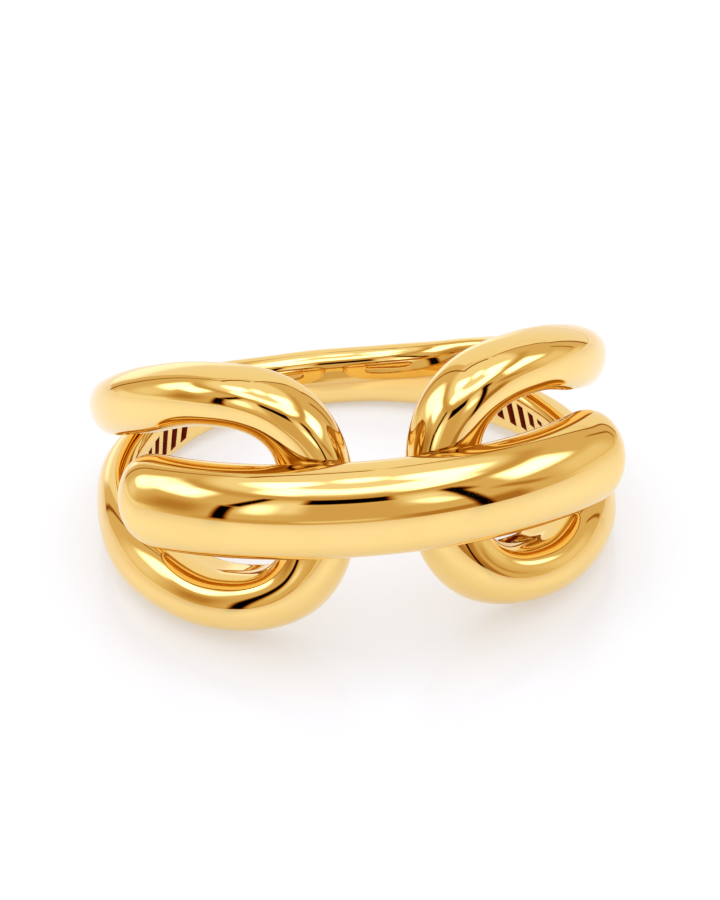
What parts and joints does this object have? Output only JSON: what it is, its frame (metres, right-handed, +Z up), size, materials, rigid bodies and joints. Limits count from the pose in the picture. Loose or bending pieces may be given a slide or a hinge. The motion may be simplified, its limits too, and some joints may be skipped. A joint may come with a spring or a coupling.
{
  "type": "double loop ring",
  "caption": "Polished gold finger ring: open tube loops tied at the front by a thick curved bar, with a plain narrow shank behind.",
  "frame": {"origin": "Middle of the bounding box seen from above, on the surface that the ring rests on. The ring lies on its side.", "axes": "The ring lies on its side on the XY plane, which it touches with the lower side of both loops and the back edge of the shank. -Y is the front, where the bar is. +X is the wearer's view's right side. +Y is the longest extent, from the bar to the back of the shank. +Z is up and the shortest extent. The axis of the finger leans back from +Z toward +Y by about 14.8 degrees."},
  "size_m": [0.0208, 0.0228, 0.0108],
  "materials": {
    "gold": "mirror-polished yellow gold"
  },
  "bodies": {
    "root": {"loop_ring": "gold"}
  },
  "joints": []
}
